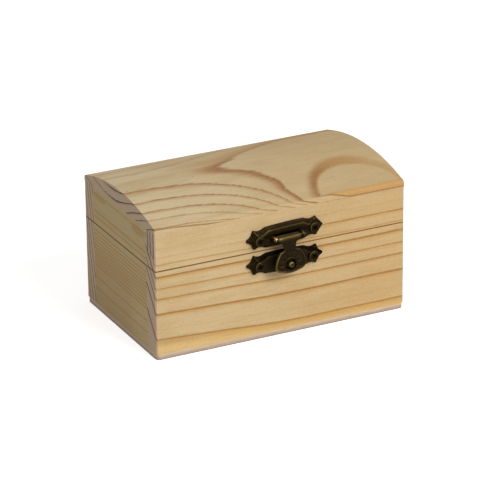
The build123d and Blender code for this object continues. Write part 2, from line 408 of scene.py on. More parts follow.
# Pattern steps for each millimetre across the grain, and along it.
slow_steps, fine_steps = (0.11, 0.03), (1.0, 0.05)
short_steps, feather_steps = (3.2, 0.3), (1.5, 0.14)


def pine(
    name, grain_axis, growth, wander_depth=0.9, blush=None,
    tints=(ring_glow, ring_dark), fray=fray_depth,
):
    """Bare sanded pine. The growth function turns x, y and z into dark and glow wires."""
    material, shader, place = new_material(name)
    axes = split(place)
    slow, fine, short, feather = [
        along_grain(axes, grain_axis, *steps)
        for steps in (slow_steps, fine_steps, short_steps, feather_steps)
    ]
    wander = (noise(slow) - 0.5) * wander_depth
    frayed = (noise(short, roughness=0.6) - 0.5) * fray
    frayed = frayed + (noise(feather, roughness=0.6) - 0.5) * fray * feather_share
    dark, glow = growth(*axes, wander + frayed)

    broad = noise(slow, scale=1.7, detail=3.0).fade(0.38, 0.66)
    fibre = noise(fine, scale=2.2, detail=4.0, roughness=0.65)
    pores = noise(short, scale=1.4, detail=3.0, roughness=0.7)
    specks = noise(place, scale=1.9, detail=3.0, roughness=0.75)
    stains = noise(place, scale=1.6, detail=4.0, roughness=0.7)
    face = broad.mix(pale_wood, honey_wood, broad * 0.45)
    if blush is not None:
        face = blush(face, *axes)
    face = face.towards(tints[0], glow * 0.9).towards(tints[1], dark * (0.5 + pores * 0.65))
    face = face.tint(fibre_brown, fibre, 0.45, 0.75, 0.16)
    face = face.tint(fibre_brown, specks, 0.52, 0.72, 0.2).tint(speck_pale, specks, 0.46, 0.3, 0.3)
    face = face.tint(fibre_brown, pores, 0.56, 0.74, 0.16)
    end = broad.mix(end_wood, end_ring, glow * 0.45)
    end = end.tint(end_ring, dark, 0.0, 0.45).tint(end_ring, stains, 0.45, 0.75, 0.35)

    facing = split(place.node("TexCoord", output="Normal"))[grain_axis].size()
    sawn, in_gap = saw_cut(*axes)
    feed(
        shader,
        base_color=face.tint(end, facing, 0.6, 0.9).towards(saw_brown, sawn),
        roughness=0.66 - dark * 0.1 + fibre * 0.1,
        normal=bump_normal(fibre * 0.03 + pores * 0.02 + dark * 0.02, strength=0.7),
        emission_color=in_gap.mix(no_light, saw_light, in_gap),
        emission_strength=1.0,
        specular_ior_level=0.3,
    )
    return material


print("fibres are", round(fine_steps[0] / fine_steps[1]), "times longer than wide")

# %% [markdown]
# ## The front boards
# The front is one board that was sawn through after gluing, so the base and the lid share
# its rings. On the front face the rings are long level lines, and those of the base sink a
# little to the right. The left end shows the same rings as steep slanting lines, because the
# rings lean back into the board. The corner at the left is sanded rounder, and a pale band
# is painted along it as a highlight, where the round corner catches the light.

# %% Finish the front boards
case_left_x, case_front_y = in_mm(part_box("base_front_board"))[0][:2]
front_lean = 1.5
sink_per_mm = 0.11
sink_zero_height = 36.6
sink_reach = (10.0, -62.0)
front_shake = 0.6
front_marks = [
    (5.1, 0.85, 1.0, 4.2),
    (9.2, 0.12, 0.5, 1.2),
    (16.0, 1.0, 1.1, 2.4),
    (22.3, 0.85, 0.9, 2.0),
    (26.7, 0.75, 0.7, 1.8),
    (31.7, 1.0, 1.1, 2.4),
    (43.4, 0.15, 0.5, 1.6),
    (47.6, 0.08, 0.5, 1.6),
]
front_softness = 0.3
crack_places = (-24.3, -26.4, -28.9)
front_glow = paint(214, 162, 84)
front_line = paint(152, 98, 38)
# A painted highlight, where the rounded left corner catches the light.
corner_highlight = paint(240, 208, 172)
front_warm = paint(219, 177, 118)
front_gold = paint(242, 206, 136)


def end_checks(x, y, z):
    """Upright drying cracks, seen only in the left end grain near the top of the lid."""
    lines = strongest([(y - place).size().fade(0.32, 0.1) for place in crack_places])
    return lines * z.fade(37.5, 40.5) * x.fade(case_left_x + 0.5, case_left_x + 0.3)


def front_growth(x, y, z, shake):
    """The board's rings, two more that change along it, the glue line and the cracks."""
    sink = x.fade(*sink_reach) * (sink_zero_height - z) * sink_per_mm
    field = z - (y - case_front_y) * front_lean - sink + shake * front_shake
    over_saw = (x.fade(-45.0, 35.0, 36.6, 35.1), 0.6, 0.5, 1.3)
    in_lid = (39.6, x.fade(-30.0, 20.0, 0.2, 0.95), 0.7, 1.9)
    dark, glow = rings(field, front_marks + [over_saw, in_lid], front_softness)
    at_glue = z.fade(47.85, 48.05) * x.fade(13.0, 18.0) * 0.6
    return strongest([dark, at_glue, end_checks(x, y, z) * 0.9]), glow


def front_blush(body, x, y, z):
    """Warmer to the right, golden along the foot, and a painted highlight on the round left
    corner.
    """
    body = body.tint(front_warm, x, -30.0, 50.0, 0.5).tint(front_gold, z, 6.0, 4.6, 0.75)
    # The pale band on the rounded left corner is a painted highlight.
    return body.tint(corner_highlight, x - case_left_x, 0.9, 0.5, 0.5)


front_pine = pine(
    "pine_front", along_x, front_growth, blush=front_blush, tints=(front_glow, front_line),
)
dress(["base_front_board", "lid_front_board"], front_pine)

# %% [markdown]
# ## The top board's rings
# The lid's top is one thick board from near the outside of a trunk. Its rings are shallow
# bowls that dive to the right, so the arched cut shows long lines on the left, a pointed
# figure in the middle and an island on the right. The left end shows the same bowls as
# smiling arcs. All of it could be drawn line by line, but then face and end wouldn't meet.

# %% Shape the top board's rings
arris_z = 50.1
lid_top_z = 54.9
arch_diameter = 194.2
bowl_middle_y = 6.3
bowl_diameter = 93.4
dive_start_x = -20.4
dive_start_softness = 31.5
dive_full = 44.3
dive_full_softness = 11.8
dive_slope = 1.3
middle_steepness = 0.148
front_steepening = 0.00034
back_steepening = 0.00023
steep_from_y = (4.2, 10.0)
edge_squeeze = 0.85
depth_squeeze = 0.55


def on_front_edge(y):
    """One on the upright front edge of the board, zero on its top."""
    return y.fade(case_front_y + 1.2, case_front_y + 0.5)


def top_field(x, y, z):
    """Bowl-shaped rings that dive to the right, steeper towards the front and the back."""
    from_middle = y - bowl_middle_y
    start = x - dive_start_x
    along = start.maths("SMOOTH_MAX", start, 0.0, dive_start_softness)
    dive = along.maths("SMOOTH_MIN", along, dive_full, dive_full_softness) * dive_slope
    in_front = (steep_from_y[0] - y).larger(0.0)
    behind = (y - steep_from_y[1]).larger(0.0)
    steepness = middle_steepness + in_front * in_front * front_steepening
    steepness = steepness + behind * behind * back_steepening
    below_arris = (arris_z - z).larger(0.0) * on_front_edge(y)
    depth = (lid_top_z - y * y / arch_diameter - z).larger(0.0) * y.fade(2.0, -22.0)
    bowls = z - from_middle * from_middle / bowl_diameter + dive * steepness
    return bowls - below_arris * edge_squeeze - depth * depth_squeeze


print("the rings dive", round(dive_full * dive_slope * middle_steepness, 2), "mm in the middle")

# %% [markdown]
# ## The pointed figure and the island
# Where the arched cut meets the bowls head on, one ring closes in a point, and where it just
# grazes one more, that ring shows as an island. Both are read closely by the eye, and a
# field that bends enough to give them would spoil the plain lines beside them. So the point
# is a ring of its own, whose place shifts towards the front and the back, and the island is
# an oval drawn on the cut.

# %% Draw the point and the island
top_marks = [
    (36.5, 0.95, 0.5, 1.6),
    (41.4, 0.65, 0.5, 1.2),
    (45.5, 0.95, 0.6, 1.7),
    (49.9, 0.9, 0.55, 1.4),
    (53.7, 0.85, 0.55, 1.4),
]
point_place = 57.3
# Where the point's ring shifts as the board runs from one y to another, and how far.
point_shifts = [(3.0, 9.0, 1.1), (12.0, 24.0, 1.2), (0.0, -6.0, 0.9), (-15.0, -24.0, -1.4)]
point_softness = 0.3
island_middle = (32.4, -31.0)
island_reach = (16.3, 17.3)
island_glow_middle = (32.9, -28.9)
island_glow_reach = (18.0, 22.0)


def inside_oval(x, y, middle, reach):
    """More than zero inside an oval, zero on its edge, one in its middle."""
    across = (x - middle[0]) / reach[0]
    down = (y - middle[1]) / reach[1]
    apart = across * across + down * down
    return 1 - apart.maths("SQRT", apart)


def point_ring(field, x, y):
    """The ring that closes in a point, fainter at the back and near the right end."""
    place = point_place
    for start, end, shift in point_shifts:
        place = place + y.fade(start, end, 0.0, shift)
    dark_width, glow_width = y.fade(12.0, 0.0, 1.0, 1.9), y.fade(0.0, 12.0, 2.6, 4.4)
    dark, glow = fade_in_ring(field, place, 1.0, dark_width, glow_width, point_softness)
    return dark * y.fade(12.0, 6.0, 0.4, 1.0) * x.fade(49.0, 40.0, 0.25, 1.0), glow * 0.85


def island(x, y, shake):
    """The grazed ring: a dark line on the left of its oval, and a glow all round it."""
    oval = inside_oval(x, y, island_middle, island_reach) + shake * 0.07
    outer = inside_oval(x, y, island_glow_middle, island_glow_reach) + shake * 0.1
    outside = oval.fade(0.05, -0.05) * y.fade(case_front_y + 0.2, case_front_y + 0.8)
    dark = outside * oval.fade(-0.3, -0.06) * x.fade(32.0, 20.0, 0.0, 0.75)
    return dark, outside * outer.fade(-0.05, 0.1) * x.fade(50.0, 30.0, 0.5, 1.0)


print("rings on the top board", len(top_marks) + 2)

# %% [markdown]
# ## The board's front edge
# The rings leave the board through its upright front edge. There they are two slanting dark
# lines on an orange strip, steeper than the field makes them, because the edge was sanded
# over. Drawing them on the edge alone leaves the top as it is. Slow tints and four small
# dark specks complete the board.

# %% Finish for the top board
strip_reach = 0.45
top_pale = paint(230, 209, 168)
top_warm = paint(208, 178, 128)
top_glow = paint(196, 148, 88)
top_line = paint(150, 98, 46)
top_fray = 0.65
top_wander = 0.3
strip_orange = paint(214, 164, 96)
speck_places = [(-48.0, -3.0), (-40.0, 1.0), (-21.0, -1.0), (-12.0, 12.0)]
speck_dark = paint(70, 48, 30)
speck_length = 1.4


def right_line_height(x):
    """Height of the right slanting line on the front edge."""
    return x.fade(18.0, 30.0, arris_z + 0.3, 48.25)


def strip_dark(x, y, z):
    """The two slanting lines."""
    left_line = x.fade(-48.0, -16.0, 49.9, 47.8)
    right = (z - right_line_height(x)).size().fade(strip_reach, 0.1) * x.fade(13.0, 18.0)
    left = (z - left_line).size().fade(strip_reach, 0.1) * x.fade(-14.0, -24.0)
    return right.larger(left) * on_front_edge(y) * 0.9


def strip_glow(x, y, z):
    """The orange wood above the right line."""
    glow = (z - right_line_height(x)).fade(0.0, 0.2) * x.fade(15.0, 22.0)
    return glow * y.fade(case_front_y + 2.5, case_front_y + 0.3) * 0.9


def top_growth(x, y, z, shake):
    """All that is dark or glows on the board; the plain rings are fainter at the back."""
    field = top_field(x, y, z) + shake
    dark, glow = rings(field, top_marks)
    at_back = y.fade(4.0, 11.0, 1.0, 0.4)
    point_dark, point_glow = point_ring(field, x, y)
    island_dark, island_glow = island(x, y, shake)
    dark = strongest([dark * at_back, point_dark, island_dark, strip_dark(x, y, z)])
    return dark, strongest([glow * at_back, point_glow, island_glow])


def top_blush(body, x, y, z):
    """Slow tints, the orange strip on the edge, and four short dark specks."""
    body = body.towards(top_pale, x.fade(30.0, -50.0, 0.1, 0.9))
    drift = noise(join(x * 0.03, y * 0.08, z * 0.08))
    body = body.tint(top_warm, x, -20.0, 40.0, 0.45).tint(top_warm, drift, 0.45, 0.65, 0.5)
    body = body.towards(strip_orange, strip_glow(x, y, z))
    for speck_x, speck_y in speck_places:
        across, down = x - speck_x, (y - speck_y) * speck_length
        body = body.tint(speck_dark, across * across + down * down, 0.16, 0.03, 0.8)
    return body


top_pine = pine(
    "pine_top", along_x, top_growth, top_wander, top_blush, (top_glow, top_line), top_fray,
)
print("specks on the top", len(speck_places))

# %% [markdown]
# ## The top board itself
# The construction model draws the arch with a few flat facets, which show in the outline.
# This piece takes its place: the same board, with a finer arch and with its long edges
# sanded a little round. Its profile runs once round in the YZ plane and is drawn out along X.

# %% Make the smooth top board
top_box = in_mm(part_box("lid_top_board"))
arch_steps = 48
edge_round = 0.9
edge_steps = 4
end_bevel = 0.3
board_sharp_degrees = 30
bevel_sharp_degrees = 35


def board_profile():
    """Points round the board in the YZ plane: flat below, rounded edges and the arch."""
    (low_x, low_y, low_z), (high_x, high_y, high_z) = top_box
    rise = high_z - arris_z
    radius = (high_y * high_y + rise * rise) / (2 * rise)
    points = [(low_y, low_z)]
    for step in range(arch_steps + 1):
        y = low_y + (high_y - low_y) * step / arch_steps
        points.append((y, high_z - radius + math.sqrt(radius * radius - y * y)))
    points.append((high_y, low_z))
    return soften(points, [1, len(points) - 2])


def soften(points, corners):
    """Replaces sharp corners of a line of points by small round ones."""
    softened = []
    for index, point in enumerate(points):
        if index not in corners:
            softened.append(point)
            continue
        here = Vector(point)
        first, last = [
            here + side.normalized() * min(edge_round, side.length * 0.9)
            for side in (Vector(points[index - 1]) - here, Vector(points[index + 1]) - here)
        ]
        for step in range(edge_steps + 1):
            share = step / edge_steps
            blend = first.lerp(here, share).lerp(here.lerp(last, share), share)
            softened.append(tuple(blend))
    return softened


def finished_piece(name, made, sharp_degrees):
    """Turns a bmesh into an object, shaded smooth except over edges sharper than an angle."""
    bmesh.ops.recalc_face_normals(made, faces=made.faces[:])
    mesh = bpy.data.meshes.new(name)
    made.to_mesh(mesh)
    made.free()
    for polygon in mesh.polygons:
        polygon.use_smooth = True
    mesh.set_sharp_from_angle(angle=math.radians(sharp_degrees))
    return add_object(name, mesh)


def solid_along_x(name, profile, low_x, high_x):
    """A closed solid with this YZ profile between two places along X, in millimetres."""
    made = bmesh.new()
    left, right = [
        [made.verts.new((x * MM, y * MM, z * MM)) for y, z in profile] for x in (low_x, high_x)
    ]
    for index in range(len(profile)):
        after = (index + 1) % len(profile)
        made.faces.new((left[index], left[after], right[after], right[index]))
    made.faces.new(left)
    made.faces.new(right)
    return finished_piece(name, made, board_sharp_degrees)


def soften_edges(piece, width, segments=2):
    """A small bevel on the sharp edges, as sanding leaves it, or on the chosen ones."""
    bevel = piece.modifiers.new("sanded", "BEVEL")
    bevel.width = width * MM
    bevel.segments = segments
    bevel.limit_method = "WEIGHT" if "bevel_weight_edge" in piece.data.attributes else "ANGLE"
    bevel.angle_limit = math.radians(bevel_sharp_degrees)
    bevel.harden_normals = True


def choose_edges(piece, wanted):
    """Marks the edges whose two ends both satisfy a test, for the bevel."""
    mesh = piece.data
    weights = mesh.attributes.new("bevel_weight_edge", "FLOAT", "EDGE")
    for edge in mesh.edges:
        ends = [mesh.vertices[index].co / MM for index in edge.vertices]
        weights.data[edge.index].value = 1.0 if wanted(*ends) else 0.0


def arch_end(first, last):
    """True for an edge of the arch at either end of the top board."""
    return abs(first.x - last.x) < 0.01 and min(first.z, last.z) > top_box[0][2] + 0.5


top_piece = solid_along_x("smooth_lid_top", board_profile(), top_box[0][0], top_box[1][0])
choose_edges(top_piece, arch_end)
soften_edges(top_piece, end_bevel)
top_piece.data.materials.append(top_pine)
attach(top_piece, "lid")
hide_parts("lid_top_board")
print("arch points", len(board_profile()))

# %% [markdown]
# ## The ends and the back
# The end boards run from front to back between the long boards, so their grain runs along Y
# and shows as fine level lines, with two lenses of resin high in the lid. The back board was
# cut nearly flat to its rings: they stand steep in it and show as slanting lines on its ends
# and as broad wavy bands on its face. One pine finish does for all, each with its own field.

# %% Finish the end boards and the back
end_places = [8.5, 13.0, 17.7, 19.1, 20.6, 22.0, 23.3, 24.6, 25.9, 27.3, 28.7, 30.1, 31.7]
end_marks = [(place, 0.8, 0.3, 0.9) for place in end_places]
end_marks += [(37.0, 0.8, 0.3, 1.0), (39.3, 0.75, 0.4, 1.4), (46.4, 0.5, 0.4, 1.6)]
end_cup = 0.0004
end_rise = 0.012
cup_at_face = 1.0
end_shake = 0.5
end_olive = paint(198, 178, 128)
end_brown = paint(196, 160, 116)
end_resin = paint(176, 134, 66)
resin_spots = [(17.0, 45.5, 6.0, 1.5), (-16.4, 44.9, 6.5, 2.0)]
back_places = [1.4, 3.5, 5.8, 8.2, 10.3, 12.9, 15.0, 17.4]
back_marks = [(place, 0.75, 0.45, 0.6) for place in back_places]
back_lean = 0.22
back_shake = 0.3
back_softness = 0.08


def end_growth(x, y, z, shake):
    """Nearly level rings, cupped a little, that rise to the back."""
    field = z - x * x * end_cup + cup_at_face - y * end_rise + shake * end_shake
    return rings(field, end_marks)


def end_blush(body, x, y, z):
    """Olive, browner low down at the back, with two resin-coloured lenses in the lid."""
    low_at_back = z.fade(30.0, 20.0) * y.fade(-16.0, -4.0, 0.0, 0.45)
    body = body.towards(end_olive, 0.6).towards(end_brown, low_at_back)
    for spot_y, spot_z, half_length, half_height in resin_spots:
        across, up = (y - spot_y) / half_length, (z - spot_z) / half_height
        body = body.tint(end_resin, across * across + up * up, 1.0, 0.5, 0.4)
    return body


def back_growth(x, y, z, shake):
    """Steep slanting rings, nearly flat to the board's face."""
    field = z * back_lean - y - case_front_y + shake * back_shake
    return rings(field, back_marks, back_softness)


end_boards = ["base_left_board", "base_right_board", "lid_left_board", "lid_right_board"]
dress(end_boards, pine("pine_ends", along_y, end_growth, blush=end_blush))
dress(["base_back_board", "lid_back_board"], pine("pine_back", along_x, back_growth))

# %% [markdown]
# ## The plywood bottom
# A thin sheet of three plies closes the box from below. Its edge shows as a pale pinkish
# strip: two layers with their grain along the strip, and between them one that is cut across
# and looks darker. Its face shows inside the chest as plain streaky birch. The layers could
# be three solids, but they are glued into one, so the height in the sheet picks the colour.

# %% Finish the plywood
ply_pale = paint(236, 212, 186)
ply_grey = paint(204, 182, 164)
ply_middle = paint(196, 166, 140)
ply_shade = paint(150, 130, 114)
ply_inside = paint(224, 196, 152)
sheet_box = in_mm(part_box("bottom_panel"))
sheet_thickness = sheet_box[1][2] - sheet_box[0][2]


def plywood():
    """The layers on the sheet's edge, and birch streaks on its upper face."""
    material, shader, place = new_material("plywood")
    x, y, z = split(place)
    share = z / sheet_thickness
    grain = noise(join(x * 0.12, y * 0.5, z * 3.0), scale=1.4, detail=4.0, roughness=0.65)
    streaks = noise(join(x * 0.05, y * 1.1, z), scale=1.4, detail=4.0, roughness=0.6)
    middle = (share - 0.5).size().fade(0.2, 0.12)
    colour = grain.mix(ply_pale, ply_grey, grain.fade(0.35, 0.7, 0.1, 0.8))
    colour = colour.towards(ply_middle, middle * grain.fade(0.3, 0.6, 0.25, 0.75))
    colour = colour.tint(ply_shade, share, 0.45, 0.1, 0.8)
    birch = streaks.mix(ply_inside, ply_middle, streaks.fade(0.4, 0.75, 0.0, 0.5))
    colour = colour.towards(birch, share.fade(0.96, 0.995) * 0.85)
    feed(
        shader,
        base_color=colour,
        roughness=0.7 + grain * 0.15,
        normal=bump_normal(grain * 0.05 + middle * 0.04, strength=0.7),
        specular_ior_level=0.25,
    )
    return material


dress(["bottom_panel"], plywood())
print("sheet thickness", round(sheet_thickness, 2))

# %% [markdown]
# ## The lower edge
# The sheet's edges were sanded over by hand. A rounding of half a millimetre keeps the chest
# from looking cut out of paper where it meets the table. A modifier leaves the solid alone.

# %% Round the plywood
sheet_round = 0.5
soften_edges(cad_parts["bottom_panel"], sheet_round, segments=3)
print("rounded the bottom sheet by", sheet_round, "mm")

# %% [markdown]
# ## Dark antique bronze
# The fittings are cast or pressed in brass, dipped until they are nearly black, and then
# rubbed, so that gold shows on every raised edge. A number on each corner of a mesh says how
# far it was rubbed, and it carries painted light too: above zero it adds painted highlights
# on edges that face the light, and below zero it gives painted shade in hollows and on shaded
# slopes. The finish mixes the colours by it and breaks it up with noise, because real rubbing
# skips the low spots.

# %% Finish for the fittings
bronze_base = paint(46, 37, 23)
bronze_brown = paint(62, 47, 26)
# Near black, for painted shade.
bronze_painted_shade = paint(7, 6, 4)
bronze_olive = paint(108, 90, 50)
bronze_gold = paint(212, 176, 112)


def bronze(name, polish=0.0, tone=bronze_gold):
    """Blackened brass: rubbed gold with painted highlights above zero, painted shade below zero.
    """
    material, shader, place = new_material(name)
    settings = {"attribute_type": "GEOMETRY", "attribute_name": "wear_light_shade"}
    wear_light_shade = place.node("Attribute", settings, None, output=2)
    patch = noise(place, scale=0.55, detail=3.0, roughness=0.6)
    speck = noise(place, scale=2.6, detail=4.0, roughness=0.7)
    rub_light_shade = (wear_light_shade + polish) * speck.fade(0.3, 0.62, 0.78, 1.12)
    colour = patch.mix(bronze_base, bronze_brown, patch.fade(0.42, 0.68, 0.0, 0.6))
    # Above zero the number gives rubbed gold together with painted highlights.
    colour = colour.tint(bronze_olive, rub_light_shade, 0.0, 0.6).tint(tone, rub_light_shade, 0.5, 1.0)
    feed(
        shader,
        # Below zero it darkens the colour towards near black as painted shade.
        base_color=colour.tint(bronze_painted_shade, wear_light_shade, 0.0, -1.0),
        roughness=0.5 - rub_light_shade.fade(0.2, 1.0, 0.0, 0.14) + speck * 0.1,
        normal=bump_normal(speck * 0.03 + patch * 0.02, strength=0.5),
        metallic=1.0,
    )
    return material


cast_bronze = bronze("bronze_cast")
screw_bronze = bronze("bronze_screw")
hinge_bronze = bronze("bronze_hinge", polish=0.12)
stud_brass = bronze("stud_brass", tone=paint(206, 192, 140))
pin_wire = bronze("pin_wire", polish=0.2)
dress([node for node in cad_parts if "leaf" in node], hinge_bronze)
dress([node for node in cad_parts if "hinge" in node and "screws" in node], screw_bronze)
dress([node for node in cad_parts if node.endswith("_pin")], pin_wire)

# %% [markdown]
# ## Drawing on the latch's face
# The latch lies on the front board, so its pieces are drawn flat: u along the plate, v up,
# and h outwards from the wood, all in millimetres. The hasp was screwed on a little crooked,
# like the real one, and its frame is turned by the same angle. Its outlines are arcs through
# three points and straight lines, as a pattern maker would draw them.

# %% Frames for the two plates
hasp_tilt = math.radians(2.7)
latch_x = 0.9
catch_z = 29.2
hasp_z = 39.5
panel_height = 2.1


def flat_frame(middle_z, tilt):
    """A function that turns u, v and h on a plate into a place in metres."""
    def place(u, v, h):
        x = latch_x + u * math.cos(tilt) - v * math.sin(tilt)
        z = middle_z + u * math.sin(tilt) + v * math.cos(tilt)
        return Vector((x, case_front_y - h, z)) * MM

    return place


on_catch = flat_frame(catch_z, 0.0)
on_hasp = flat_frame(hasp_z, hasp_tilt)


def arc(start, middle, end, steps):
    """Points on the circle through three points, without the last one."""
    (ax, ay), (bx, by), (cx, cy) = start, middle, end
    turn = 2 * (ax * (by - cy) + bx * (cy - ay) + cx * (ay - by))
    a, b, c = ax * ax + ay * ay, bx * bx + by * by, cx * cx + cy * cy
    x = (a * (by - cy) + b * (cy - ay) + c * (ay - by)) / turn
    y = (a * (cx - bx) + b * (ax - cx) + c * (bx - ax)) / turn
    first = math.atan2(ay - y, ax - x)
    half = (math.atan2(by - y, bx - x) - first) % (2 * math.pi)
    sweep = (math.atan2(cy - y, cx - x) - first) % (2 * math.pi)
    if half > sweep:
        sweep -= 2 * math.pi
    radius = math.hypot(ax - x, ay - y)
    angles = [first + sweep * step / steps for step in range(steps)]
    return [(x + radius * math.cos(angle), y + radius * math.sin(angle)) for angle in angles]


def line(start, end, steps):
    """Points on a straight line, without the last one."""
    (ax, ay), (bx, by) = start, end
    return [
        (ax + (bx - ax) * step / steps, ay + (by - ay) * step / steps) for step in range(steps)
    ]


print("a plate point, mm", [round(value / MM, 2) for value in on_hasp(0, 0, panel_height)])

# %% [markdown]
# ## Measuring a casting
# Cast and pressed ornament is a relief: one height for every place inside an outline. Its
# beads, steps and rounded edges all depend on how far a place is from some line, so a few
# measuring functions come first. Modelling the beads and petals as separate solids would
# take far more work and look harder than a worn casting.

# %% Distances and ridges
from mathutils.geometry import delaunay_2d_cdt
from mathutils.kdtree import KDTree

edge_sample_step = 0.04


def around(loop):
    """Each point of a closed loop with the next one."""
    return zip(loop, loop[1:] + loop[:1])


def step_up(value, start, end):
    """Smooth step in Python numbers: zero before start, one after end."""
    share = min(1.0, max(0.0, (value - start) / (end - start)))
    return share * share * (3 - 2 * share)


def bead(distance, width):
    """A round ridge: one on its line, zero a width away."""
    return max(0.0, 1 - (distance / width) ** 2) ** 0.75 if distance < width else 0.0


def near_edge(edge, width):
    """One on the outline, zero a width inside it."""
    return 1 - min(1.0, edge / width)


def shoulder(edge, width):
    """How far a quarter-round edge has dropped: one on the outline, zero a width inside."""
    return 1 - math.sqrt(max(0.0, 1 - near_edge(edge, width) ** 2))


def along_line(points, u, v):
    """Distance from a place to an open line of points."""
    best = 1e9
    for (ax, ay), (bx, by) in zip(points, points[1:]):
        dx, dy = bx - ax, by - ay
        share = min(1.0, max(0.0, ((u - ax) * dx + (v - ay) * dy) / (dx * dx + dy * dy)))
        best = min(best, math.hypot(u - ax - share * dx, v - ay - share * dy))
    return best


def is_inside(outline, u, v):
    inside = False
    for (ax, ay), (bx, by) in around(outline):
        if (ay > v) != (by > v) and u < ax + (v - ay) / (by - ay) * (bx - ax):
            inside = not inside
    return inside


def edge_finder(loops):
    """A function for the distance of a place from the nearest closed outline."""
    samples = []
    for loop in loops:
        for start, end in around(loop):
            samples += line(start, end, max(1, int(math.dist(start, end) / edge_sample_step)))
    tree = KDTree(len(samples))
    for index, (u, v) in enumerate(samples):
        tree.insert((u, v, 0), index)
    tree.balance()
    return lambda u, v: tree.find((u, v, 0))[2]


print("a bead half its width out is", round(bead(0.5, 1.0), 2), "high")

# %% [markdown]
# ## Castings as reliefs
# The outline and a fine grid of places inside it are joined into triangles, every corner is
# lifted to its height, and a wall and a flat back close the piece. A plain square grid would
# leave stairs along the rim, so a few rings of places follow the outline first.

# %% Make a closed relief
rim_steps = (0.08, 0.18, 0.3, 0.45, 0.62)
cast_sharp_degrees = 38


def grid_inside(outline, distance, spacing):
    """Places inside an outline: rings near its edge, and a grid farther in."""
    places = []

    def keep(spot, reach):
        if is_inside(outline, *spot) and distance(*spot) > reach:
            places.append(spot)

    for index, (u, v) in enumerate(outline):
        (ax, ay), (bx, by) = outline[index - 1], outline[(index + 1) % len(outline)]
        length = math.hypot(bx - ax, by - ay)
        for step in rim_steps:
            for side in (-1, 1):
                spot = (u - side * (by - ay) / length * step, v + side * (bx - ax) / length * step)
                keep(spot, step * 0.9)
    low_u, low_v = [min(values) for values in zip(*outline)]
    high_u, high_v = [max(values) for values in zip(*outline)]
    for row in range(int((high_v - low_v) / spacing) + 1):
        for column in range(int((high_u - low_u) / spacing) + 1):
            shift = 0.5 if row % 2 else 0.0
            spot = (low_u + (column + shift) * spacing, low_v + row * spacing)
            keep(spot, rim_steps[-1] + spacing * 0.4)
    return places


def relief(name, outline, surface, back, place, spacing, hole=None):
    """A closed piece. surface(u, v, edge distance) gives the height and the rubbing with painted
    light and shade.
    """
    loops = [outline] + ([hole] if hole else [])
    distance = edge_finder(loops)

    def in_hole(u, v):
        return bool(hole) and is_inside(hole, u, v)

    def is_wanted(triangle):
        middle = [sum(flat[index][axis] for index in triangle) / 3 for axis in (0, 1)]
        return is_inside(outline, *middle) and not in_hole(*middle)

    points, edges = [], []
    for loop in loops:
        start = len(points)
        points += loop
        edges += [(start + index, start + (index + 1) % len(loop)) for index in range(len(loop))]
    points += [spot for spot in grid_inside(outline, distance, spacing) if not in_hole(*spot)]
    joined = delaunay_2d_cdt([Vector(point) for point in points], edges, [], 0, 1e-6)
    flat = [tuple(point) for point in joined[0]]
    triangles = [triangle for triangle in joined[2] if is_wanted(triangle)]
    return close_relief(name, flat, triangles, surface, distance, back, place)


def close_relief(name, flat, triangles, surface, distance, back, place):
    """Lifts flat triangles to the surface and closes them with a wall and a back."""
    made = bmesh.new()
    wear_light_shade = made.verts.layers.float.new("wear_light_shade")
    front, behind = [], []
    for u, v in flat:
        height, rub_light_shade = surface(u, v, distance(u, v))
        front.append(made.verts.new(place(u, v, height)))
        front[-1][wear_light_shade] = rub_light_shade
        behind.append(made.verts.new(place(u, v, back(u, v) if callable(back) else back)))
    sides = {}
    for triangle in triangles:
        made.faces.new([front[index] for index in triangle])
        made.faces.new([behind[index] for index in reversed(triangle)])
        for start, end in around(triangle):
            if (end, start) in sides:
                del sides[(end, start)]
            else:
                sides[(start, end)] = True
    for start, end in sides:
        made.faces.new((front[start], behind[start], behind[end], front[end]))
    loose = [vertex for vertex in made.verts if not vertex.link_faces]
    bmesh.ops.delete(made, geom=loose, context="VERTS")
    return finished_piece(name, made, cast_sharp_degrees)


def fit(piece, material, body, slot, *nodes):
    """Gives a piece its finish and its body, and says which solids it stands for."""
    piece.data.materials.append(material)
    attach(piece, body)
    if nodes:
        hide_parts(*nodes)


print("relief rings at", rim_steps, "mm from the edge")

# %% [markdown]
# ## The outline of a plate
# Both plates come from one mould: each end has a pointed tip between two horns, with a waist
# on either side of the tip, and the long edges swell a little. One quarter is drawn and
# mirrored to the other three, because four drawings would never quite agree. On the hasp the
# two waists of the right end are a little fuller, as on the real one.

# %% Draw the plate's outline
plate_tip = (15.3, 0.0)
tip_nose, tip_neck = (15.18, 0.34), (14.9, 0.62)
waist_bend, waist_end = (14.0, 1.17), (13.35, 1.85)
horn_low, horn_corner, horn_back = (12.86, 3.1), (12.6, 3.56), (12.1, 3.56)
bay_bottom, bay_end = (10.3, 3.08), (8.85, 3.42)
swell_start, swell_bend = (7.75, 3.9), (4.0, 4.05)
plate_top = (0.0, 4.08)


def plate_quarter(side, fill):
    """From a tip to the middle of the long edge; fill makes the waist fuller."""
    waist = (waist_end[0] + fill, waist_end[1] + fill * 0.4)
    points = arc(plate_tip, tip_nose, tip_neck, 4)
    points += arc(tip_neck, (waist_bend[0] + fill * 0.7, waist_bend[1] + fill * 0.5), waist, 8)
    points += line(waist, horn_low, 6)
    points += arc(horn_low, horn_corner, horn_back, 5)
    points += arc(horn_back, bay_bottom, bay_end, 10)
    points += line(bay_end, swell_start, 4)
    points += arc(swell_start, swell_bend, plate_top, 12)
    return [(side * u, v) for u, v in points]


def plate_outline(right_waist):
    """The whole outline, anticlockwise. right_waist fills the waists of the right end."""
    upper = plate_quarter(1, right_waist) + [plate_top] + plate_quarter(-1, 0.0)[:0:-1]
    lower = plate_quarter(1, 0.0) + [plate_top] + plate_quarter(-1, right_waist)[:0:-1]
    return upper + [(-u, -v) for u, v in lower]


print("points round a plate", len(plate_outline(0.0)))
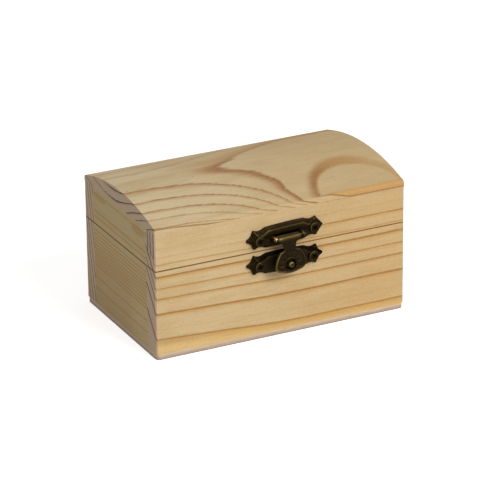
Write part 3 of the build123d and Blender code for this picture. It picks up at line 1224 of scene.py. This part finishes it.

# %% [markdown]
# ## The two plates
# Inside the outline come a thin margin, a bead that runs in from the horn to a cusp and out
# to the tip, and a raised middle. The hasp's plate also has a hollow for the rolled barrel.
# The beads are the places that a cloth reaches first, so they are rubbed the most. Painted
# highlights lie on their upper side and on the left end, brighter than the right, with a
# painted glint and a painted highlight spot by one horn. Painted shade lies on the slopes
# outside the middle, most on the catch, and in and round the hasp's hollow.

# %% Make the plates
margin_height = 0.8
margin_round = 0.3
horn_rise = 0.42
cusp_rise = 0.08
hollow_height = 0.4
hollow = (-5.05, 5.05, -2.2, 0.85)
horn_line = [(10.95, 1.62), (11.75, 2.55), (12.2, 3.15)]
panel_quarter = [(12.65, 0.0), (11.95, 0.75), (10.95, 1.62), (8.9, 1.78), (7.1, 2.98), (0.0, 2.98)]
left_end_rub_and_highlight = 0.82
# Where a painted highlight spot sits, near the upper right horn.
horn_tip = (12.0, 3.0)
plate_spacing = 0.18


def panel_reach(u, v):
    """How far inside the raised middle a place is; below zero outside it."""
    across, up = abs(u), abs(v)
    reach = along_line(panel_quarter, across, up)
    return reach if is_inside(panel_quarter + [(0.0, 0.0)], across, up - 1e-4) else -reach


def plate_surface(edge_rub, slope_painted_shade, has_hollow):
    """Height and rubbing of a plate, with painted light and shade; the hasp's has the barrel
    hollow.
    """
    def surface(u, v, edge):
        across, up = abs(u), abs(v)
        reach = panel_reach(u, v)
        height = margin_height + (panel_height - margin_height) * step_up(reach, -0.7, 0.05)
        horn_ridge = bead(along_line(horn_line, across, up), 0.36)
        height += horn_rise * horn_ridge * step_up(-reach, 0.0, 0.2)
        height += cusp_rise * bead(abs(reach), 0.3)
        height -= margin_round * near_edge(edge, margin_round) ** 2
        ridge = bead(abs(reach - 0.12), 0.42)
        # The left end, the upper side and the sparkle spot are painted highlights on the rubbed
        # beads.
        left = step_up(-u, 9.0, 11.5)
        upper = step_up(v, -0.7, 0.3)
        sparkle = bead(abs(u + 7.3), 1.6)
        middle_rub = edge_rub * (1 + 0.8 * sparkle) * (1 - left)
        rub_light_shade = max(
            ridge * upper * (middle_rub + left_end_rub_and_highlight * left),
            horn_ridge * upper * (0.12 + 0.5 * step_up(-u, 0, 5)),
            0.45 * bead(math.hypot(u - horn_tip[0], v - horn_tip[1]), 0.8),
        )
        # Painted shade on the slopes outside the middle, and round the hollow on the hasp.
        if reach < -0.12:
            rub_light_shade -= slope_painted_shade * upper * (1 - ridge) * (1 - 0.6 * left)
        elif has_hollow and across < 9.5:
            rub_light_shade -= 0.5 * (1 - step_up(v, 0.6, 2.8)) * (1 - ridge) * step_up(v, -0.5, 0.5)
        if has_hollow:
            low_u, high_u, low_v, high_v = hollow
            inside = min(u - low_u, high_u - u, v - low_v, high_v - v)
            height += (hollow_height - height) * step_up(inside, -0.12, 0.12)
            # The hollow's floor is painted as deep shade.
            rub_light_shade += (-1.0 - rub_light_shade) * step_up(inside, -0.15, 0.1)
        return height, rub_light_shade

    return surface


catch_surface = plate_surface(edge_rub=0.14, slope_painted_shade=0.7, has_hollow=False)
catch_relief = relief(
    "catch_plate_relief", plate_outline(0.0), catch_surface, 0.0, on_catch, plate_spacing,
)
fit(catch_relief, cast_bronze, "base", "antique_casting", "catch_plate")
hasp_surface = plate_surface(edge_rub=0.34, slope_painted_shade=0.12, has_hollow=True)
hasp_relief = relief(
    "hasp_plate_relief", plate_outline(0.4), hasp_surface, 0.0, on_hasp, plate_spacing,
)
fit(hasp_relief, cast_bronze, "lid", "antique_casting", "hasp_plate")
print("plate corners", len(catch_relief.data.vertices), len(hasp_relief.data.vertices))

# %% [markdown]
# ## Lugs for the pin
# The pin sits in two cast ears. Each ear is round over the pin, upright on the side of the
# barrel, and slopes down to the plate on the other side, which makes it strong and lets it
# leave the mould. A coppery line along the upper edge of the slope is a painted highlight,
# stronger on the left ear, which has its own copper copy of the finish. The foot of the
# slope carries painted shade.

# %% Make the lugs
pivot_height = 4.16
pivot_drop = 0.3
lug_inner = 5.0
lug_shoulder = 5.75
lug_foot = 6.9
lug_radius = 1.05
lug_overlap = 0.2
lug_spacing = 0.13
lug_side_steps = 14
lug_copper = bronze("lug_copper", tone=paint(226, 172, 120))


def lug_surface(strength):
    """Height of an ear, a round top that falls away to the plate, with painted light and shade."""
    def surface(u, v, edge):
        across, side = abs(u), v + pivot_drop
        crown = math.sqrt(max(0.0, 1 - min(1.0, abs(side) / lug_radius) ** 2))
        fall = step_up(across, lug_shoulder - 0.25, lug_foot)
        height = pivot_height + lug_radius * (0.25 + 0.75 * crown) - 0.12 * near_edge(edge, 0.15)
        height += (panel_height - height) * fall
        upper_edge = bead(abs(side - 0.82), 0.3)
        crest = bead(abs(across - lug_shoulder + 0.1), 0.35) * step_up(side, -0.6, 0.3)
        # A painted highlight on the upper edge and the crest, as strong as strength says, and
        # painted shade on the foot.
        rub_light_shade = max(upper_edge * (1 - fall), crest) * strength
        return height, rub_light_shade - 0.5 * fall * (1 - upper_edge)

    return surface


def lug(name, side, finish, strength):
    """One ear as a relief over its small footprint."""
    inner, foot = side * lug_inner, side * lug_foot
    low, high = -pivot_drop - lug_radius, -pivot_drop + lug_radius
    corners = [(inner, low), (foot, low), (foot, high), (inner, high)]
    sides = [line(start, end, lug_side_steps) for start, end in around(corners)]
    back = panel_height - lug_overlap
    piece = relief(name, sum(sides, []), lug_surface(strength), back, on_hasp, lug_spacing)
    fit(piece, finish, "lid", "antique_casting")


# The left ear gets the stronger painted highlight, in its copper copy of the finish.
lug("lug_left", -1, lug_copper, 1.0)
lug("lug_right", 1, cast_bronze, 0.5)
print("lugs", lug_foot - lug_inner, "mm wide")

# %% [markdown]
# ## Cross-head screws
# Four little pan-head screws hold the plates. A pan head has an upright side, a round
# shoulder and a low dome, with a cross stamped in it that is deepest in the middle. They are
# lathe work, but the cross makes them a relief too.

# %% Make the latch screws
head_radius = 2.02
head_height = 0.95
head_shoulder = 0.42
head_dome = 0.12
head_overlap = 0.3
groove_radius, groove_depth = 1.42, 0.1
bright_radius = 1.76
cross_half = 1.2
cross_width = 0.24
cross_depth = 0.6
head_turns = 56
head_spacing = 0.15


def circle(radius, count, middle=(0.0, 0.0)):
    turns = [2 * math.pi * index / count for index in range(count)]
    return [(middle[0] + radius * math.cos(a), middle[1] + radius * math.sin(a)) for a in turns]


def cross_share(along, across):
    """One in the stamped cross, zero beside it, over both of its arms."""
    return max(
        step_up(cross_width + 0.12 - abs(b), 0.0, 0.14) * step_up(cross_half - abs(a), 0, 0.5)
        for a, b in ((along, across), (across, along))
    )


def screw_surface(spot, turned):
    """Height of a screw head round a spot on a plate, with painted highlight and shade."""
    def surface(u, v, edge):
        du, dv = u - spot[0], v - spot[1]
        along = du * math.cos(turned) + dv * math.sin(turned)
        across = dv * math.cos(turned) - du * math.sin(turned)
        radius = math.hypot(du, dv)
        cross = cross_share(along, across)
        height = panel_height + head_height - head_shoulder * shoulder(edge, head_shoulder)
        height -= head_dome * (radius / head_radius) ** 2
        height -= groove_depth * bead(abs(radius - groove_radius), 0.2)
        # A painted highlight on a ring, strongest on the lamp's side, and painted shade in the
        # cross and round the edge.
        ring = bead(abs(radius - bright_radius), 0.26)
        towards_lamp = 0.5 + 0.5 * (dv * 0.5 - du * 0.86) / (radius + 0.01)
        rub_light_shade = ring * 0.42 * towards_lamp ** 1.5 - 0.75 * cross
        return height - cross_depth * cross, rub_light_shade - 0.5 * step_up(radius, 1.86, head_radius)

    return surface


def latch_screw(name, plate, body, spot, turned):
    """One screw head, a separate piece that stands for the solid screw below it."""
    surface = screw_surface(spot, math.radians(turned))
    back = panel_height - head_overlap
    outline = circle(head_radius, head_turns, spot)
    piece = relief(name, outline, surface, back, plate, head_spacing)
    fit(piece, screw_bronze, body, "screw_finish", name.replace("_head", ""))


latch_screw("catch_screw_left_head", on_catch, "base", (-10.8, -0.1), 12)
latch_screw("catch_screw_right_head", on_catch, "base", (10.7, 0.0), 38)
latch_screw("hasp_screw_left_head", on_hasp, "lid", (-10.75, -0.15), 25)
latch_screw("hasp_screw_right_head", on_hasp, "lid", (11.1, 0.2), 52)
print("screw heads", head_radius * 2, "mm wide")

# %% [markdown]
# ## The outline of the flap
# The flap is pressed from sheet: a waisted neck under the barrel, small shoulders, and a
# shield with full cheeks and a round foot. Each side is drawn as shares of the shield's half
# width and height, so that both sides follow one list of places.

# %% Draw the flap's outline
flap_half_width = 6.25
flap_drop = 13.3
hole_middle = (-0.485, -10.29)
barrel_span = (-4.9, 3.9)
barrel_lap = 0.99
neck_bend, neck_top, neck_low = (0.46, 0.135), (0.392, 0.230), (0.372, 0.315)
shoulder_in, shoulder_top, shoulder_out = (0.585, 0.346), (0.63, 0.35), (0.655, 0.375)
cheek_bend, cheek, foot_bend, foot = (0.86, 0.54), (1.0, 0.785), (0.87, 0.89), (0.56, 0.958)
shoulder_push = 0.12


def flap_side(side, barrel_end):
    """One side of the flap, from the barrel down to the foot, and the foot itself."""
    def spot(share):
        across, down = share
        return (hole_middle[0] + side * across * flap_half_width, -pivot_drop - down * flap_drop)

    low = (barrel_end, -pivot_drop - barrel_lap)
    inner, top, outer = spot(shoulder_in), spot(shoulder_top), spot(shoulder_out)
    bump = ((inner[0] + top[0]) / 2 + side * shoulder_push, top[1])
    points = line((barrel_end, -pivot_drop), low, 4)
    points += arc(low, spot(neck_bend), spot(neck_top), 10)
    points += line(spot(neck_top), spot(neck_low), 5) + line(spot(neck_low), inner, 6)
    points += arc(inner, bump, outer, 4)
    points += arc(outer, spot(cheek_bend), spot(cheek), 22)
    points += arc(spot(cheek), spot(foot_bend), spot(foot), 12)
    return points, spot(foot)


def flap_outline():
    """The shield and neck, from the barrel's left end round to its right end."""
    left, left_foot = flap_side(-1, barrel_span[0])
    right, right_foot = flap_side(1, barrel_span[1])
    bottom = arc(left_foot, (hole_middle[0], -pivot_drop - flap_drop), right_foot, 22)
    return left + bottom + [right_foot] + right[::-1]


print("points round the flap", len(flap_outline()))

# %% [markdown]
# ## The flap
# On the shield the press left a raised rim, a ring of petals and a dish with a hole for the
# stud. It gives a sheet the same relief behind, but the back is hidden, so only the dish is
# pushed out there and the rest stays flat.

# %% Make the flap's shield
flap_front = 5.52
flap_back = 4.82
hole_radius = 1.55
dish_radius = 2.5
dish_floor = flap_back - 0.15
dish_bulge = 0.45
lip_radius = 2.32
petal_count = 11
petal_turn = 0.2
petal_inner, petal_outer = 2.7, 4.9
field_drop, rim_rise, petal_rise, lip_rise = 0.12, 0.24, 0.3, 0.26
hole_turns = 40
flap_spacing = 0.17


def flap_surface(u, v, edge):
    """Height of the flap, with rim, petals, lip and dish, and its rubbing and painted light."""
    du, dv = u - hole_middle[0], v - hole_middle[1]
    radius = math.hypot(du, dv)
    turn = math.atan2(dv, du)
    shield = step_up(-v, 4.6, 5.4)
    rim = bead(abs(min(edge, 0.9) - 0.3), 0.42) * shield
    petal = abs(math.cos(turn * petal_count / 2 + petal_turn))
    spread = step_up(radius, petal_inner, petal_inner + 0.25)
    spread *= step_up(petal_outer - radius, 0.0, 0.7)
    spread *= step_up(edge, 0.65, 0.9) * shield
    lip = bead(abs(radius - lip_radius), 0.3)
    dish = step_up(dish_radius - radius, 0.1, dish_radius - hole_radius)
    height = flap_front - field_drop * shield * step_up(edge, 0.45, 0.7)
    height += rim_rise * rim + petal_rise * spread * (petal ** 0.7 - 0.5) + lip_rise * lip
    height += (dish_floor - height) * dish
    height -= 0.3 * near_edge(edge, 0.28) ** 2
    # The rim is rubbed, and brighter on the left as a painted highlight; the dish is painted
    # shade.
    left = step_up(-du, 1.0, 4.0)
    vein = bead(abs(petal - 0.62), 0.3)
    rub_light_shade = rim * (0.22 + 0.4 * left) + spread * (0.14 * vein - 0.5 * (1 - petal) ** 3)
    rub_light_shade += 0.12 * lip + 0.16 * bead(abs(edge - 0.15), 0.25) * (1 - shield) - 0.95 * dish
    return height, min(1.0, rub_light_shade)


def flap_behind(u, v):
    """The back of the sheet, pressed out behind the dish."""
    radius = math.hypot(u - hole_middle[0], v - hole_middle[1])
    return flap_back - dish_bulge * step_up(dish_radius + 0.3 - radius, 0.0, 1.2)


shield = relief(
    "flap_shield", flap_outline(), flap_surface, flap_behind, on_hasp, flap_spacing,
    hole=circle(hole_radius, hole_turns, hole_middle),
)
fit(shield, cast_bronze, "hasp", "antique_casting", "hasp_flap")
print("flap corners", len(shield.data.vertices))

# %% [markdown]
# ## The rolled barrel
# The top of the sheet is rolled round the pin. Seen from the end it is a ring that doesn't
# quite close: the end of the sheet shows as a thin lip above the barrel, with a dark gap
# under it. The front of the roll is what fingers touch, so it is polished to gold, and a
# painted highlight lies along it. There is a painted highlight spot at its left end and a
# painted highlight on the lip, brightest on the left. A bent sheet could be modelled whole,
# but a tube whose radius dips at the gap looks the same.

# %% Roll the barrel
barrel_outer = 1.36
barrel_bore = 0.66
barrel_turns = 64
barrel_cuts = 14
barrel_chamfer = 0.12
gap_degrees = 74.0
gap_depth = 0.3
front_degrees, lip_degrees, spot_degrees = 14.0, 102.0, 18.0


def barrel_radius_at(degrees):
    """Radius of the roll: a groove near the top, where the sheet ends."""
    apart = abs((degrees - gap_degrees + 180) % 360 - 180)
    return barrel_outer - gap_depth * bead(apart, 11.0)


def barrel_rub_and_highlight(degrees, share):
    """Rubbed gold and a painted highlight on the front, painted highlights on the lip and at the
    left end.
    """
    if degrees >= 180:
        degrees -= 360
    # The front band is rubbed gold with a painted highlight; the lip and the spot are painted
    # highlights.
    front = bead(abs(degrees - front_degrees), 38.0)
    lip = bead(abs(degrees - lip_degrees), 18.0) * step_up(0.75 - share, 0.0, 0.75)
    spot = bead(abs(share - 0.12), 0.1) * bead(abs(degrees - spot_degrees), 22.0)
    return min(1.0, 0.34 * front + 0.8 * lip + 0.26 * spot)


def round_pin(u, degrees, radius):
    """A place on the hasp at an angle and a distance from the pin's middle line."""
    turn = math.radians(degrees)
    up, out = radius * math.sin(turn), radius * math.cos(turn)
    return on_hasp(u, -pivot_drop + up, pivot_height + out)


def barrel():
    """A tube along the pin with a number on each corner for rubbing and painted highlights."""
    made = bmesh.new()
    wear_light_shade = made.verts.layers.float.new("wear_light_shade")
    low, high = barrel_span
    angles = [360 * index / barrel_turns for index in range(barrel_turns)]
    loops = []
    for cut in range(barrel_cuts + 1):
        share = cut / barrel_cuts
        u = low + (high - low) * share
        shrink = barrel_chamfer if cut in (0, barrel_cuts) else 0.0
        loops.append([])
        for degrees in angles:
            vertex = made.verts.new(round_pin(u, degrees, barrel_radius_at(degrees) - shrink))
            vertex[wear_light_shade] = barrel_rub_and_highlight(degrees, share)
            loops[-1].append(vertex)
    for u in (high, low):
        loops.append([made.verts.new(round_pin(u, degrees, barrel_bore)) for degrees in angles])
    for first, second in around(loops):
        for index in range(barrel_turns):
            after = (index + 1) % barrel_turns
            made.faces.new((first[index], first[after], second[after], second[index]))
    return finished_piece("flap_barrel", made, cast_sharp_degrees)


fit(barrel(), cast_bronze, "hasp", "antique_casting")
print("barrel width", round(barrel_span[1] - barrel_span[0], 2))

# %% [markdown]
# ## The catch stud
# A short brass stud stands out of the lower plate and through the hole of the flap. Its end
# was spun round and has a small dimple from the lathe centre. Opening and closing keeps it
# bright. A bevelled cylinder would do for a new one. The dimple, the wear, a painted
# highlight crescent and painted shade in the dimple need a relief.

# %% Turn the stud
stud_radius = 1.15
stud_top = 6.42
stud_round = 0.4
dimple_radius, dimple_depth = 0.52, 0.28
stud_turns = 40
stud_spacing = 0.1


def stud_surface(u, v, edge):
    """Height of the stud's end: a round edge, a painted shade dimple, wear, a painted highlight
    crescent.
    """
    radius = math.hypot(u, v)
    dimple = step_up(dimple_radius - radius, 0.0, 0.4)
    crescent = bead(abs(radius - 0.85), 0.4) * step_up(v * 0.75 - u * 0.66, 0.0, 0.8)
    height = stud_top - stud_round * shoulder(edge, stud_round) - dimple_depth * dimple
    # Even wear, a painted highlight crescent and painted shade in the dimple.
    return height, 0.28 + 0.42 * crescent - 0.28 * dimple


stud_edge = circle(stud_radius, stud_turns)
stud = relief("stud_tip", stud_edge, stud_surface, panel_height, on_catch, stud_spacing)
fit(stud, stud_brass, "base", "brass_stud", "catch_stud")
print("stud corners", len(stud.data.vertices))

# %% [markdown]
# ## The floor
# A plain pale floor keeps the chest's soft shadow. To the camera it is as white as the
# surround, except where the chest darkens it. A white colour alone would render grey under
# so weak a lamp, so the floor gives off some light that only the camera sees.

# %% Lay the floor
floor_half = 3.0
floor_grey = (0.78, 0.78, 0.78, 1)
floor_lift = (0.70, 0.70, 0.70, 1)


def add_floor():
    mesh = bpy.data.meshes.new("floor")
    turns = ((-1, -1), (1, -1), (1, 1), (-1, 1))
    corners = [(x * floor_half, y * floor_half, 0) for x, y in turns]
    mesh.from_pydata(corners, [], [(0, 1, 2, 3)])
    floor = add_object("floor", mesh)
    material, shader, place = new_material("floor_white")
    feed(shader, base_color=floor_grey, roughness=0.9, specular_ior_level=0.0)
    seen = place.node("LightPath", output="Is Camera Ray")
    glow = place.node("Emission", None, {"Color": floor_lift, "Strength": seen})
    both = place.node("AddShader", None, {0: Wire(place.tree, shader.outputs[0]), 1: glow})
    put(place.tree.nodes["Material Output"].inputs["Surface"], both)
    mesh.materials.append(material)
    print("floor", 2 * floor_half, "m wide")


add_floor()

# %% [markdown]
# ## The chest's size
# The dressed chest has to stay inside the box of the construction model.
